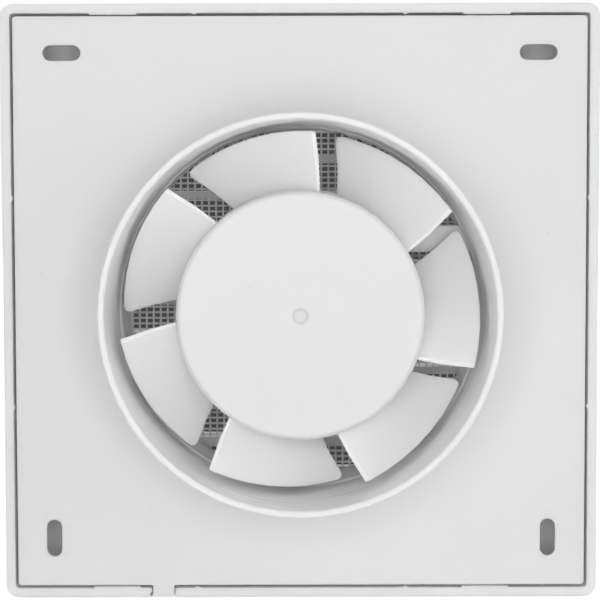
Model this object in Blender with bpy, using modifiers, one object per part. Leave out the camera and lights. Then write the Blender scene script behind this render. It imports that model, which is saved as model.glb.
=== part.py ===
"""Square axial bathroom extractor fan for a 100 mm round duct, as a bench assembly of separate pieces.

World frame: metres, +Z up, the duct spigot points along +Y and the louvred front faces -Y. The origin
is on the fan's axis, in the plane of the back plate's rear face, which lies against the wall.
The pieces are drawn in the fan's own frame and parented to an empty: x and y are right and up as seen
from behind the wall plate, and z runs along the axis, out of the spigot.
"""

import math

import bmesh
import bpy
from mathutils import Matrix, Vector

MM = 0.001

# Fits between neighbours
SEAT_GAP = 0.3 * MM  # between a piece and what it rests on
RUNNING_GAP = 0.06 * MM  # shaft in its bearings
EDGE_GAP = 0.8 * MM  # round the back plate, inside the cover's skirt

# Front cover
COVER_SIZE = 157.6 * MM
COVER_DEPTH = 22.0 * MM
COVER_WALL = 2.4 * MM
COVER_CORNER = 3.2 * MM
COVER_FRONT_RADIUS = 3.0 * MM
FIELD_BORDER = 32.3 * MM  # from the cover's edge to the louvre field
BAR_COUNT = 9
BAR_THICKNESS = 2.0 * MM
BAR_DEPTH = 11.8 * MM
BAR_SETBACK = 0.7 * MM  # front of the bars behind the front face
COLLAR_WALL = 2.2 * MM
COLLAR_LIP = 2.1 * MM  # how far the collar stands past the bars, round the fly screen
FIELD_CORNER = 0.6 * MM
LUG_WIDTH = 12.4 * MM
LUG_OFFSET = 49.2 * MM
LUG_DEPTH = 9.0 * MM
PIP_RADIUS = 1.0 * MM
PIP_OFFSET = 27.8 * MM

# Fly screen
SCREEN_THICKNESS = 0.6 * MM
SCREEN_WIRE = 0.5 * MM
SCREEN_BORDER = 1.0 * MM
SCREEN_CELLS = 7

# Back housing
HOUSING_WALL = 1.8 * MM
HOUSING_DEPTH = 8.0 * MM
PLATE_CORNER = 0.9 * MM
SPIGOT_LENGTH = 48.0 * MM
SPIGOT_RADIUS = 49.25 * MM
SPIGOT_WALL = 1.75 * MM
THROAT_INSET = 3.25 * MM  # from the spigot's outside to the throat's bore
THROAT_TOP = 16.0 * MM
THROAT_STEP = 0.5 * MM
INTAKE_DEPTH = 6.0 * MM
INTAKE_FLARE = 3.0 * MM
SLOT_LENGTH = 10.0 * MM
SLOT_WIDTH = 4.1 * MM
SLOT_UPPER = (12.85 * MM, 9.6 * MM)  # in from the plate's edges
SLOT_LOWER = (9.75 * MM, 12.75 * MM)
NOTCH_X = -36.8 * MM  # of the cut in the cover's lower edge, which the plate's tongue fills
NOTCH_WIDTH = 6.3 * MM
NOTCH_DEPTH = 5.0 * MM
NOTCH_RELIEF = 0.5 * MM  # radius of the round relief at the notch's outer end
TONGUE_WIDTH = NOTCH_WIDTH - 2 * SEAT_GAP
TONGUE_RECESS = 0.2 * MM  # behind the skirt's outside
STRUT_ANGLES = (28.0, 148.0, 268.0)
STRUT_LEAN = 28.0  # how far a strut is turned from the radial, in degrees
STRUT_OFFSET = 17.4 * MM  # from the axis to a strut's middle line
STRUT_WIDTH = 6.8 * MM
STRUT_LOW = 2.5 * MM
STRUT_HIGH = 12.5 * MM
CRADLE_GAP = 2.4 * MM  # round the motor
CRADLE_WALL = 1.8 * MM
CRADLE_FLOOR = 2.0 * MM
RIB_WIDTH = 1.6 * MM

# Impeller
HUB_RADIUS = 30.3 * MM
HUB_WALL = 1.6 * MM
HUB_FACE = 2.0 * MM
HUB_EDGE_RADIUS = 1.8 * MM
HUB_SETBACK = 1.0 * MM  # hub face inside the spigot's rim
HUB_LOW = 18.5 * MM
DIMPLE_RADIUS = 2.0 * MM
DIMPLE_DEPTH = 0.4 * MM
BLADE_COUNT = 7
TIP_GAP = 1.2 * MM  # blade tips inside the throat
BLADE_REAR = 38.0 * MM
BLADE_FRONT = 21.0 * MM
BLADE_LAND = 0.03  # flat strip along the rear edge, as a share of the blade
BLADE_WRAP = 42.7
BLADE_TIP_WRAP = 45.1
BLADE_SWEEP = 4.4
BLADE_START = 33.8
BLADE_THICKNESS = 1.3 * MM
BLADE_CORNER = 2.0 * MM
BLADE_CAMBER = 0.9 * MM

# Motor
MOTOR_RADIUS = 25.2 * MM
MOTOR_BASE = 5.5 * MM
BRACKET_WALL = 1.6 * MM
BRACKET_DEPTH = 8.7 * MM
YOKE_WALL = 4.8 * MM
POLE_COUNT = 4
POLE_WIDTH = 7.2 * MM
POLE_FACE_RADIUS = 12.5 * MM
SHOE_THICKNESS = 2.3 * MM
SHOE_HALF_ANGLE = 34.0
AIR_GAP = 0.5 * MM
FORMER_WALL = 0.8 * MM
COIL_BUILD = 2.5 * MM
SHADING_WIRE = 0.6 * MM
END_RING = 1.6 * MM
SHAFT_RADIUS = 2.0 * MM
BEARING_RADIUS = 5.0 * MM
BEARING_WIDTH = 5.0 * MM
WASHER_THICKNESS = 0.5 * MM
BOLT_RADIUS = 1.25 * MM
BOLT_INSET = 2.4 * MM
BOLT_HEAD_RADIUS = 2.2 * MM
BOLT_HEAD = 1.6 * MM
BOLT_ANGLES = (52.0, 232.0)
WINDOW_HALF_ANGLE = 12.0
INSERT_WALL = 2.0 * MM
INSERT_ROOM = 5.5 * MM  # from the motor's end to the hub's face, inside
DAMPER_ANGLES = (88.0, 208.0, 328.0)
DAMPER_CIRCLE = 17.0 * MM
DAMPER_NECK = 3.2 * MM
DAMPER_FLANGE = 4.6 * MM
SCREW_RADIUS = 1.45 * MM
SCREW_HEAD_RADIUS = 2.8 * MM
SCREW_HEAD = 1.9 * MM

# Wiring
BLOCK_INSET = (13.1 * MM, 25.3 * MM)  # its middle, in from the plate's edges
BLOCK_SIZE = (20.0 * MM, 15.0 * MM, 9.0 * MM)
TERMINAL_PITCH = 9.0 * MM
TERMINAL_SIZE = (4.4 * MM, 11.0 * MM, 4.6 * MM)
TERMINAL_SCREW_SPACING = 6.4 * MM
CLAMP_X = -37.0 * MM
CLAMP_INSET = 8.1 * MM
CLAMP_SIZE = (19.0 * MM, 6.0 * MM, 2.4 * MM)
CLAMP_SCREW_SPACING = 12.8 * MM
CLAMP_BOSS_RADIUS = 2.9 * MM
LEAD_RADIUS = 0.8 * MM
LEAD_SPACING = 2.6 * MM
LEAD_INSET = 2.9 * MM  # leads inside the yoke where they leave the motor
LEAD_HEAD = 9.5 * MM  # height of their ends in the motor
FUSE_RADIUS = 1.4 * MM
FUSE_LENGTH = 10.0 * MM

# Sizes that follow from the ones above
HALF_COVER = COVER_SIZE / 2
SKIRT_INNER = HALF_COVER - COVER_WALL
HALF_PLATE = SKIRT_INNER - EDGE_GAP
THROAT_RADIUS = SPIGOT_RADIUS - THROAT_INSET
BLADE_TIP_RADIUS = THROAT_RADIUS - TIP_GAP
BLOCK_CENTRE = (BLOCK_INSET[0] - HALF_PLATE, BLOCK_INSET[1] - HALF_PLATE)
CLAMP_CENTRE = (CLAMP_X, CLAMP_INSET - HALF_PLATE)
PLATE_FRONT = -HOUSING_WALL
FIELD_HALF = HALF_COVER - FIELD_BORDER
BAR_PITCH = (2 * FIELD_HALF + BAR_THICKNESS) / (BAR_COUNT + 1)
BAR_FRONT = -COVER_DEPTH + BAR_SETBACK
BAR_BACK = BAR_FRONT + BAR_DEPTH
COLLAR_TOP = BAR_BACK + COLLAR_LIP
HUB_TOP = SPIGOT_LENGTH - HUB_SETBACK
CRADLE_RADIUS = MOTOR_RADIUS + CRADLE_GAP + CRADLE_WALL
YOKE_INNER = MOTOR_RADIUS - YOKE_WALL
BOLT_CIRCLE = MOTOR_RADIUS - BOLT_INSET
LEAD_EXIT = YOKE_INNER - LEAD_INSET
CRADLE_LOW = STRUT_LOW - 1.0 * MM
FRONT_BRACKET_TOP = MOTOR_BASE + BRACKET_DEPTH
STACK_LOW = FRONT_BRACKET_TOP + SEAT_GAP
MOTOR_TOP = HUB_TOP - HUB_FACE - INSERT_ROOM
STACK_HIGH = MOTOR_TOP - BRACKET_DEPTH - SEAT_GAP
STACK_LENGTH = STACK_HIGH - STACK_LOW
POCKET_RADIUS = BEARING_RADIUS + 0.2 * MM
ROTOR_RADIUS = POLE_FACE_RADIUS - AIR_GAP

ROUND_STEPS = 56
FINE_STEPS = 24
SMALL_STEPS = 12

WHITE = ((0.80, 0.80, 0.79), 0.38, 0.0)
SCREEN_WHITE = ((0.72, 0.72, 0.71), 0.5, 0.0)
STEEL = ((0.56, 0.57, 0.58), 0.32, 1.0)
ZINC = ((0.66, 0.67, 0.68), 0.35, 1.0)
LAMINATION = ((0.30, 0.31, 0.33), 0.45, 1.0)
ALUMINIUM = ((0.75, 0.76, 0.77), 0.40, 1.0)
COPPER = ((0.72, 0.36, 0.20), 0.35, 1.0)
BRONZE = ((0.55, 0.40, 0.24), 0.55, 1.0)
BRASS = ((0.78, 0.61, 0.30), 0.32, 1.0)
RUBBER = ((0.05, 0.05, 0.05), 0.85, 0.0)
NYLON = ((0.62, 0.60, 0.54), 0.5, 0.0)
BLUE_SLEEVE = ((0.05, 0.14, 0.45), 0.5, 0.0)
BROWN_SLEEVE = ((0.24, 0.11, 0.05), 0.5, 0.0)


def clear_scene():
    for obj in list(bpy.data.objects):
        bpy.data.objects.remove(obj, do_unlink=True)


def new_collection(name, shown):
    group = bpy.data.collections.new(name)
    group.hide_render = not shown
    bpy.context.scene.collection.children.link(group)
    return group


def new_axis(name, parent=None):
    """An empty at the fan's origin, whose z runs along the fan's axis."""
    axis = bpy.data.objects.new(name, None)
    axis.empty_display_size = 20 * MM
    parts.objects.link(axis)
    if parent:
        axis.parent = parent
    else:
        axis.matrix_world = Matrix(((-1, 0, 0, 0), (0, 0, 1, 0), (0, 1, 0, 0), (0, 0, 0, 1)))
    return axis


def finish(name, look):
    colour, roughness, metallic = look
    material = bpy.data.materials.new(name + "_finish")
    material.use_nodes = True
    shader = material.node_tree.nodes["Principled BSDF"]
    shader.inputs["Base Color"].default_value = (*colour, 1.0)
    shader.inputs["Roughness"].default_value = roughness
    shader.inputs["Metallic"].default_value = metallic
    material.diffuse_color = (*colour, 1.0)
    return material


def add_piece(name, bm, look, parent):
    """A bmesh as a named part of the fan."""
    mesh = bpy.data.meshes.new(name)
    bm.to_mesh(mesh)
    bm.free()
    mesh.shade_smooth()
    mesh.set_sharp_from_angle(angle=math.radians(32))
    mesh.materials.append(finish(name, look))
    obj = bpy.data.objects.new(name, mesh)
    obj.parent = parent
    parts.objects.link(obj)
    return obj


def add_tool(name, bm):
    """A bmesh as a helper for a Boolean, which never shows."""
    mesh = bpy.data.meshes.new(name)
    bm.to_mesh(mesh)
    bm.free()
    obj = bpy.data.objects.new(name, mesh)
    obj.parent = fan_axis
    obj.hide_render = True
    obj.display_type = "WIRE"
    tools.objects.link(obj)
    return obj


def combine(obj, tool, operation):
    modifier = obj.modifiers.new(tool.name, "BOOLEAN")
    modifier.operation = operation
    modifier.solver = "EXACT"
    modifier.object = tool


def screw_profile(obj, steps):
    modifier = obj.modifiers.new("turn", "SCREW")
    modifier.axis = "Z"
    modifier.steps = steps
    modifier.render_steps = steps
    modifier.use_merge_vertices = True
    modifier.merge_threshold = 1e-5


def profile_bmesh(profile):
    """A closed loop of (radius, height) points, down the outer side first."""
    bm = bmesh.new()
    ring = [bm.verts.new((radius, 0, height)) for radius, height in profile]
    for a, b in zip(ring, ring[1:] + ring[:1]):
        if a.co.x or b.co.x:
            bm.edges.new((a, b))
    return bm


def turned(name, profile, look, parent, steps=FINE_STEPS, at=(0, 0), base=0.0):
    """A solid of revolution, standing at a point of the fan's plan."""
    obj = add_piece(name, profile_bmesh(profile), look, parent)
    obj.location = (*at, base)
    screw_profile(obj, steps)
    return obj


def turned_tool(name, profile, steps=FINE_STEPS):
    obj = add_tool(name, profile_bmesh(profile))
    screw_profile(obj, steps)
    return obj


def tube_profile(outer, inner, low, high):
    return [(outer, high), (outer, low), (inner, low), (inner, high)]


def rod_profile(radius, low, high):
    return [(0, high), (radius, high), (radius, low), (0, low)]


def arc(centre, radius, start, end, steps):
    """Points of an arc, its ends included, angles in degrees."""
    points = []
    for i in range(steps + 1):
        angle = math.radians(start + (end - start) * i / steps)
        points.append((centre[0] + radius * math.cos(angle), centre[1] + radius * math.sin(angle)))
    return points


def rounded_rectangle(width, height, radius, at=(0, 0), steps=3):
    x, y = width / 2 - radius, height / 2 - radius
    points = []
    for i, (sx, sy) in enumerate(((1, 1), (-1, 1), (-1, -1), (1, -1))):
        corner = (at[0] + sx * x, at[1] + sy * y)
        points += arc(corner, radius, 90 * i, 90 * (i + 1), steps)
    return points


def turn_points(points, angle):
    c, s = math.cos(math.radians(angle)), math.sin(math.radians(angle))
    return [(x * c - y * s, x * s + y * c) for x, y in points]


def add_prism(bm, outlines, low, high, matrix=None):
    """Adds a flat outline, with its holes, drawn out between two heights."""
    curve = bpy.data.curves.new("outline", "CURVE")
    curve.dimensions = "2D"
    curve.fill_mode = "BOTH"
    curve.extrude = (high - low) / 2
    for outline in outlines:
        spline = curve.splines.new("POLY")
        spline.points.add(len(outline) - 1)
        for point, (x, y) in zip(spline.points, outline):
            point.co = (x, y, 0, 1)
        spline.use_cyclic_u = True
    guide = bpy.data.objects.new("outline", curve)
    bpy.context.scene.collection.objects.link(guide)
    graph = bpy.context.evaluated_depsgraph_get()
    mesh = bpy.data.meshes.new_from_object(guide.evaluated_get(graph))
    bpy.data.objects.remove(guide, do_unlink=True)
    mesh.transform(Matrix.Translation((0, 0, (low + high) / 2)))
    if matrix:
        mesh.transform(matrix)
    solid = bmesh.new()
    solid.from_mesh(mesh)
    bmesh.ops.remove_doubles(solid, verts=solid.verts, dist=1e-6)
    bmesh.ops.recalc_face_normals(solid, faces=solid.faces)
    solid.to_mesh(mesh)
    solid.free()
    bm.from_mesh(mesh)
    bpy.data.meshes.remove(mesh)


def prism_piece(name, outlines, low, high, look, parent):
    bm = bmesh.new()
    add_prism(bm, outlines, low, high)
    return add_piece(name, bm, look, parent)


def add_box(bm, low, high):
    """Adds a box between two corners."""
    size = [b - a for a, b in zip(low, high)]
    centre = [(a + b) / 2 for a, b in zip(low, high)]
    matrix = Matrix.Translation(centre) @ Matrix.Diagonal((*size, 1))
    return bmesh.ops.create_cube(bm, size=1.0, matrix=matrix)["verts"]


def box_piece(name, low, high, look, parent, edge=0.0):
    bm = bmesh.new()
    add_box(bm, low, high)
    obj = add_piece(name, bm, look, parent)
    if edge:
        bevel = obj.modifiers.new("edges", "BEVEL")
        bevel.width = edge
        bevel.segments = 1
    return obj


def add_rod(bm, radius, low, high, at, steps=SMALL_STEPS):
    matrix = Matrix.Translation((*at, (low + high) / 2))
    bmesh.ops.create_cone(
        bm, cap_ends=True, segments=steps, radius1=radius, radius2=radius, depth=high - low, matrix=matrix
    )


def open_case(name, half, low, high, corner, front_radius, wall, look, parent):
    """A square shell, open towards the duct, with rounded corners and a rounded front edge."""
    rounding = arc((half - front_radius, low + front_radius), front_radius, 0, -90, 3)
    levels = [(0.0, high)] + [(half - x, z) for x, z in rounding]
    bm = bmesh.new()
    loops = []
    for inset, z in levels:
        outline = rounded_rectangle(2 * (half - inset), 2 * (half - inset), corner, steps=4)
        loops.append([bm.verts.new((x, y, z)) for x, y in outline])
    for upper, lower in zip(loops, loops[1:]):
        for i in range(len(upper)):
            bm.faces.new((upper[i - 1], lower[i - 1], lower[i], upper[i]))
    bm.faces.new(reversed(loops[-1]))
    bmesh.ops.recalc_face_normals(bm, faces=bm.faces)
    if max(bm.faces, key=lambda f: f.calc_area()).normal.z > 0:
        bmesh.ops.reverse_faces(bm, faces=bm.faces)
    obj = add_piece(name, bm, look, parent)
    shell = obj.modifiers.new("wall", "SOLIDIFY")
    shell.thickness = wall
    shell.offset = -1
    shell.solidify_mode = "NON_MANIFOLD"
    shell.nonmanifold_thickness_mode = "CONSTRAINTS"
    return obj


def polar(radius, angle):
    return (radius * math.cos(math.radians(angle)), radius * math.sin(math.radians(angle)))


def screw_solid(name, at, head_low, length, parent, radius=SCREW_RADIUS, head=SCREW_HEAD_RADIUS,
                head_height=SCREW_HEAD, upwards=True):
    """A pan-head screw whose head starts at a height. Its shank runs up, or down, from the head."""
    profile = [
        (0, head_height + length),
        (radius, head_height + length),
        (radius, head_height),
        (head, head_height),
        (head, head_height * 0.4),
        (head * 0.72, 0),
        (0, 0),
    ]
    obj = turned(name, profile, ZINC, parent, 12, at, head_low)
    if not upwards:
        obj.location.z = head_low + head_height
        obj.rotation_euler = (math.pi, 0, 0)
    return obj


# ---------------------------------------------------------------- back housing


def duct_profile():
    """The spigot, the throat with its step, and the flared intake lip, as one turned wall."""
    rim = 0.4 * MM
    lip = THROAT_RADIUS + INTAKE_FLARE
    flare = arc((lip, -INTAKE_DEPTH + INTAKE_FLARE), INTAKE_FLARE, 270, 180, 3)
    outer = [
        (SPIGOT_RADIUS - rim, SPIGOT_LENGTH),
        (SPIGOT_RADIUS, SPIGOT_LENGTH - rim),
        (SPIGOT_RADIUS, -HOUSING_WALL / 2),
        (lip + 1.2 * MM, -INTAKE_DEPTH),
    ]
    inner = [
        (THROAT_RADIUS, THROAT_TOP),
        (THROAT_RADIUS + THROAT_STEP, THROAT_TOP + THROAT_STEP),
        (SPIGOT_RADIUS - SPIGOT_WALL, SPIGOT_LENGTH - rim),
        (SPIGOT_RADIUS - SPIGOT_WALL + rim, SPIGOT_LENGTH),
    ]
    return outer + flare + inner


def strut_outline(angle):
    """A straight strut, leaning from the radial, from inside the cradle's wall into the throat's."""
    near, far = CRADLE_RADIUS - CRADLE_WALL / 2, THROAT_RADIUS + 1.0 * MM
    lower, upper = STRUT_OFFSET - STRUT_WIDTH / 2, STRUT_OFFSET + STRUT_WIDTH / 2
    corners = ((near, lower), (far, lower), (far, upper), (near, upper))
    points = [(math.sqrt(radius * radius - y * y), y) for radius, y in corners]
    return turn_points(points, angle - STRUT_LEAN)


def slot_outlines():
    upright = ((SLOT_WIDTH, SLOT_LENGTH), SLOT_LOWER, -1)
    level = ((SLOT_LENGTH, SLOT_WIDTH), SLOT_UPPER, 1)
    outlines = []
    for (width, height), (x, y), side in (upright, level):
        for sign in (-1, 1):
            at = (sign * (HALF_PLATE - x), side * (HALF_PLATE - y))
            outlines.append(rounded_rectangle(width, height, SLOT_WIDTH / 2 * 0.999, at, 4))
    return outlines


def make_housing():
    block = bmesh.new()
    size = 2 * HALF_PLATE
    add_prism(block, [rounded_rectangle(size, size, PLATE_CORNER)], -HOUSING_DEPTH, 0.0)
    housing = add_piece("back_housing", block, WHITE, fan_axis)
    room = bmesh.new()
    size -= 2 * HOUSING_WALL
    add_prism(room, [rounded_rectangle(size, size, PLATE_CORNER)], -HOUSING_DEPTH - MM, -HOUSING_WALL)
    combine(housing, add_tool("housing_room", room), "DIFFERENCE")

    hole = bmesh.new()
    middle = (SPIGOT_RADIUS + THROAT_RADIUS) / 2
    add_rod(hole, middle, -HOUSING_DEPTH, HOUSING_WALL, (0, 0), ROUND_STEPS)
    combine(housing, add_tool("duct_hole", hole), "DIFFERENCE")
    combine(housing, turned_tool("duct_wall", duct_profile(), ROUND_STEPS), "UNION")

    cradle = [
        (CRADLE_RADIUS, STRUT_HIGH),
        (CRADLE_RADIUS, CRADLE_LOW + 0.8 * MM),
        (CRADLE_RADIUS - 0.8 * MM, CRADLE_LOW),
        (POCKET_RADIUS, CRADLE_LOW),
        (POCKET_RADIUS, CRADLE_LOW + CRADLE_FLOOR),
        (CRADLE_RADIUS - CRADLE_WALL, CRADLE_LOW + CRADLE_FLOOR),
        (CRADLE_RADIUS - CRADLE_WALL, STRUT_HIGH),
    ]
    combine(housing, turned_tool("motor_cradle", cradle, 32), "UNION")
    struts = bmesh.new()
    for angle in STRUT_ANGLES:
        add_prism(struts, [strut_outline(angle)], STRUT_LOW, STRUT_HIGH)
    combine(housing, add_tool("struts", struts), "UNION")

    extras = bmesh.new()
    inner = HALF_PLATE - HOUSING_WALL / 2
    outer = SPIGOT_RADIUS - HOUSING_WALL / 4
    rib_low = -HOUSING_DEPTH + 2.0 * MM
    rib_high = -HOUSING_WALL / 2
    for angle in (0, 90, 180):
        outline = rounded_rectangle(inner - outer, RIB_WIDTH, RIB_WIDTH / 4, ((inner + outer) / 2, 0), 1)
        add_prism(extras, [turn_points(outline, angle)], rib_low, rib_high)
    add_box(
        extras,
        (NOTCH_X - TONGUE_WIDTH / 2, -HALF_COVER + TONGUE_RECESS, -HOUSING_WALL),
        (NOTCH_X + TONGUE_WIDTH / 2, -HALF_PLATE + HOUSING_WALL / 2, -0.05 * MM),
    )
    for side in (-1, 1):
        at = (CLAMP_CENTRE[0] + side * CLAMP_SCREW_SPACING / 2, CLAMP_CENTRE[1])
        add_rod(extras, CLAMP_BOSS_RADIUS, -clamp_rest(), rib_high, at)
    combine(housing, add_tool("ribs_and_bosses", extras), "UNION")

    cuts = bmesh.new()
    for outline in slot_outlines():
        add_prism(cuts, [outline], -HOUSING_WALL * 2, HOUSING_WALL)
    for angle in DAMPER_ANGLES:
        at = polar(DAMPER_CIRCLE, angle)
        add_rod(cuts, DAMPER_NECK + SEAT_GAP, CRADLE_LOW - MM, CRADLE_LOW + CRADLE_FLOOR + MM, at)
    for side in (-1, 1):
        at = (CLAMP_CENTRE[0] + side * CLAMP_SCREW_SPACING / 2, CLAMP_CENTRE[1])
        add_rod(cuts, SCREW_RADIUS + SEAT_GAP / 2, -clamp_rest() - MM, -HOUSING_WALL, at, 12)
    stand_up = Matrix.Rotation(math.radians(STRUT_ANGLES[2]), 4, "Z") @ Matrix.Rotation(math.pi / 2, 4, "X")
    for outline, half_width in lead_channels():
        add_prism(cuts, [outline], -half_width, half_width, stand_up)
    combine(housing, add_tool("slots_and_holes", cuts), "DIFFERENCE")
    return housing


def lead_channels():
    """The two cuts the motor leads pass through: a (radius, height) outline and a half width."""
    half_width = LEAD_SPACING / 2 + LEAD_RADIUS + SEAT_GAP
    under_strut = STRUT_LOW - 0.05 * MM
    start = LEAD_EXIT - 2.5 * MM
    floor_top = CRADLE_LOW + CRADLE_FLOOR
    cradle = [
        (start, -MM), (CRADLE_RADIUS + MM, -MM), (CRADLE_RADIUS + MM, under_strut),
        (start + 5 * MM, under_strut), (start + 5 * MM, floor_top + MM), (start, floor_top + MM),
    ]
    near, far = THROAT_RADIUS - MM, SPIGOT_RADIUS + 4 * MM
    low, high = -INTAKE_DEPTH - MM, -HOUSING_WALL - SEAT_GAP
    lip = [(near, low), (far, low), (far, high), (near, high)]
    return [(cradle, half_width), (lip, 2 * half_width)]


def clamp_rest():
    """Height of the clamp's bosses below the plate's rear face."""
    return HOUSING_WALL + 6.4 * MM


# ---------------------------------------------------------------- front cover


def bar_outline():
    """A louvre bar's section: a thin blade with a rounded front edge, as (depth, height)."""
    half = BAR_THICKNESS / 2
    nose = arc((BAR_FRONT + half, 0), half, 270, 90, 4)
    return [(BAR_BACK, half), *reversed(nose), (BAR_BACK, -half)]


def make_cover():
    cover = open_case(
        "front_cover", HALF_COVER, -COVER_DEPTH, 0.0, COVER_CORNER, COVER_FRONT_RADIUS, COVER_WALL,
        WHITE, cover_axis,
    )
    collar = bmesh.new()
    outside = 2 * (FIELD_HALF + COLLAR_WALL)
    add_prism(
        collar,
        [rounded_rectangle(outside, outside, FIELD_CORNER + COLLAR_WALL)],
        -COVER_DEPTH + COVER_WALL / 2,
        COLLAR_TOP,
    )
    combine(cover, add_tool("collar_block", collar), "UNION")
    field = bmesh.new()
    outline = rounded_rectangle(2 * FIELD_HALF, 2 * FIELD_HALF, FIELD_CORNER)
    add_prism(field, [outline], -COVER_DEPTH - MM, COLLAR_TOP + MM)
    combine(cover, add_tool("louvre_field", field), "DIFFERENCE")

    bars = bmesh.new()
    reach = FIELD_HALF + COLLAR_WALL / 2
    lay_down = Matrix.Rotation(-math.pi / 2, 4, "Y")
    for k in range(BAR_COUNT):
        height = (k - (BAR_COUNT - 1) / 2) * BAR_PITCH
        add_prism(bars, [bar_outline()], -reach, reach, Matrix.Translation((0, height, 0)) @ lay_down)
    combine(cover, add_tool("louvre_bars", bars), "UNION")

    catches = bmesh.new()
    bite = COVER_WALL / 2
    reach = SKIRT_INNER - EDGE_GAP / 2
    for sx in (-1, 1):
        for sy in (-1, 1):
            x = sx * LUG_OFFSET
            edges = sorted((sy * reach, sy * (SKIRT_INNER + bite)))
            low, high = (x - LUG_WIDTH / 2, edges[0], -LUG_DEPTH), (x + LUG_WIDTH / 2, edges[1], -0.05 * MM)
            add_box(catches, low, high)
    centre = reach + PIP_RADIUS
    for side in range(4):
        for sign in (-1, 1):
            at = turn_points([(sign * PIP_OFFSET, centre)], 90 * side)[0]
            add_rod(catches, PIP_RADIUS, -LUG_DEPTH, -0.05 * MM, at, 8)
    lip = BAR_BACK + 2 * SEAT_GAP + SCREEN_THICKNESS
    for side in range(4):
        corners = [(-3.0 * MM, FIELD_HALF - 0.8 * MM), (3.0 * MM, FIELD_HALF - 0.8 * MM),
                   (3.0 * MM, FIELD_HALF + 1.0 * MM), (-3.0 * MM, FIELD_HALF + 1.0 * MM)]
        add_prism(catches, [turn_points(corners, 90 * side)], lip, COLLAR_TOP - 0.1 * MM)
    combine(cover, add_tool("lugs_and_pips", catches), "UNION")

    notch = bmesh.new()
    left, right = NOTCH_X - NOTCH_WIDTH / 2, NOTCH_X + NOTCH_WIDTH / 2
    outer, inner = -HALF_COVER - MM, -SKIRT_INNER + 0.5 * MM
    relief = arc((left, -HALF_COVER + NOTCH_RELIEF + TONGUE_RECESS), NOTCH_RELIEF, 270, 90, 6)
    outline = [(left, inner), (right, inner), (right, outer), (left, outer), *relief]
    add_prism(notch, [outline], -NOTCH_DEPTH, MM)
    combine(cover, add_tool("notch", notch), "DIFFERENCE")
    return cover


def make_screen():
    """The fly screen as a moulded grid: a sheet of cells left out, then given its thickness."""
    half = FIELD_HALF - SEAT_GAP
    inner = half - SCREEN_BORDER
    pitch = 2 * inner / SCREEN_CELLS
    lines = [-half]
    for k in range(SCREEN_CELLS):
        start = -inner + k * pitch
        lines.append(start + (SCREEN_WIRE / 2 if k else 0))
        lines.append(start + pitch - (SCREEN_WIRE / 2 if k < SCREEN_CELLS - 1 else 0))
    lines.append(half)
    count = len(lines) - 1
    bm = bmesh.new()
    bmesh.ops.create_grid(bm, x_segments=count, y_segments=count, size=0.5)
    for vert in bm.verts:
        column, row = (round((c + 0.5) * count) for c in vert.co.xy)
        vert.co = (lines[column], lines[row], BAR_BACK + SEAT_GAP)
    holes = []
    for face in bm.faces:
        centre = face.calc_center_median()
        column, row = (sum(line < c for line in lines) for c in centre.xy)
        if column % 2 == 0 and row % 2 == 0:
            holes.append(face)
    bmesh.ops.delete(bm, geom=holes, context="FACES")
    screen = add_piece("fly_screen", bm, SCREEN_WHITE, cover_axis)
    sheet = screen.modifiers.new("sheet", "SOLIDIFY")
    sheet.thickness = SCREEN_THICKNESS
    sheet.offset = 1
    return screen


# ---------------------------------------------------------------- impeller


def hub_profile():
    """The hub cup with its rounded face edge, the dimple and the inner boss for the brass insert."""
    top, inside = HUB_TOP, HUB_TOP - HUB_FACE
    boss = SHAFT_RADIUS + INSERT_WALL + SEAT_GAP * 2
    edge = arc((HUB_RADIUS - HUB_EDGE_RADIUS, top - HUB_EDGE_RADIUS), HUB_EDGE_RADIUS, 90, 0, 3)
    draft = 0.35 * MM
    outer = [(0, top - DIMPLE_DEPTH), (DIMPLE_RADIUS * 0.6, top - DIMPLE_DEPTH), (DIMPLE_RADIUS, top)]
    under = [
        (HUB_RADIUS + draft, HUB_LOW),
        (HUB_RADIUS + draft - HUB_WALL, HUB_LOW),
        (HUB_RADIUS - HUB_WALL, inside - 0.8 * MM),
        (HUB_RADIUS - HUB_WALL - 0.8 * MM, inside),
        (boss + 2.2 * MM, inside),
        (boss + 1.8 * MM, insert_low()),
        (boss, insert_low()),
        (boss, inside + 0.3 * MM),
        (0, inside + 0.3 * MM),
    ]
    return outer + edge + under


def insert_low():
    return MOTOR_TOP + 0.9 * MM


def blade_point(along, radius):
    """A point of a blade's middle surface. along runs from 0 at the rear edge to 1 at the front."""
    outward = (radius - HUB_RADIUS) / (BLADE_TIP_RADIUS - HUB_RADIUS)
    wrap = BLADE_WRAP + (BLADE_TIP_WRAP - BLADE_WRAP) * outward
    angle = BLADE_START - BLADE_SWEEP * (1 - outward) + wrap * along
    fall = max(0.0, (along - BLADE_LAND) / (1 - BLADE_LAND))
    height = BLADE_REAR + (BLADE_FRONT - BLADE_REAR) * fall
    height -= BLADE_CAMBER * math.sin(math.pi * fall)
    return (*polar(radius, angle), height)


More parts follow.
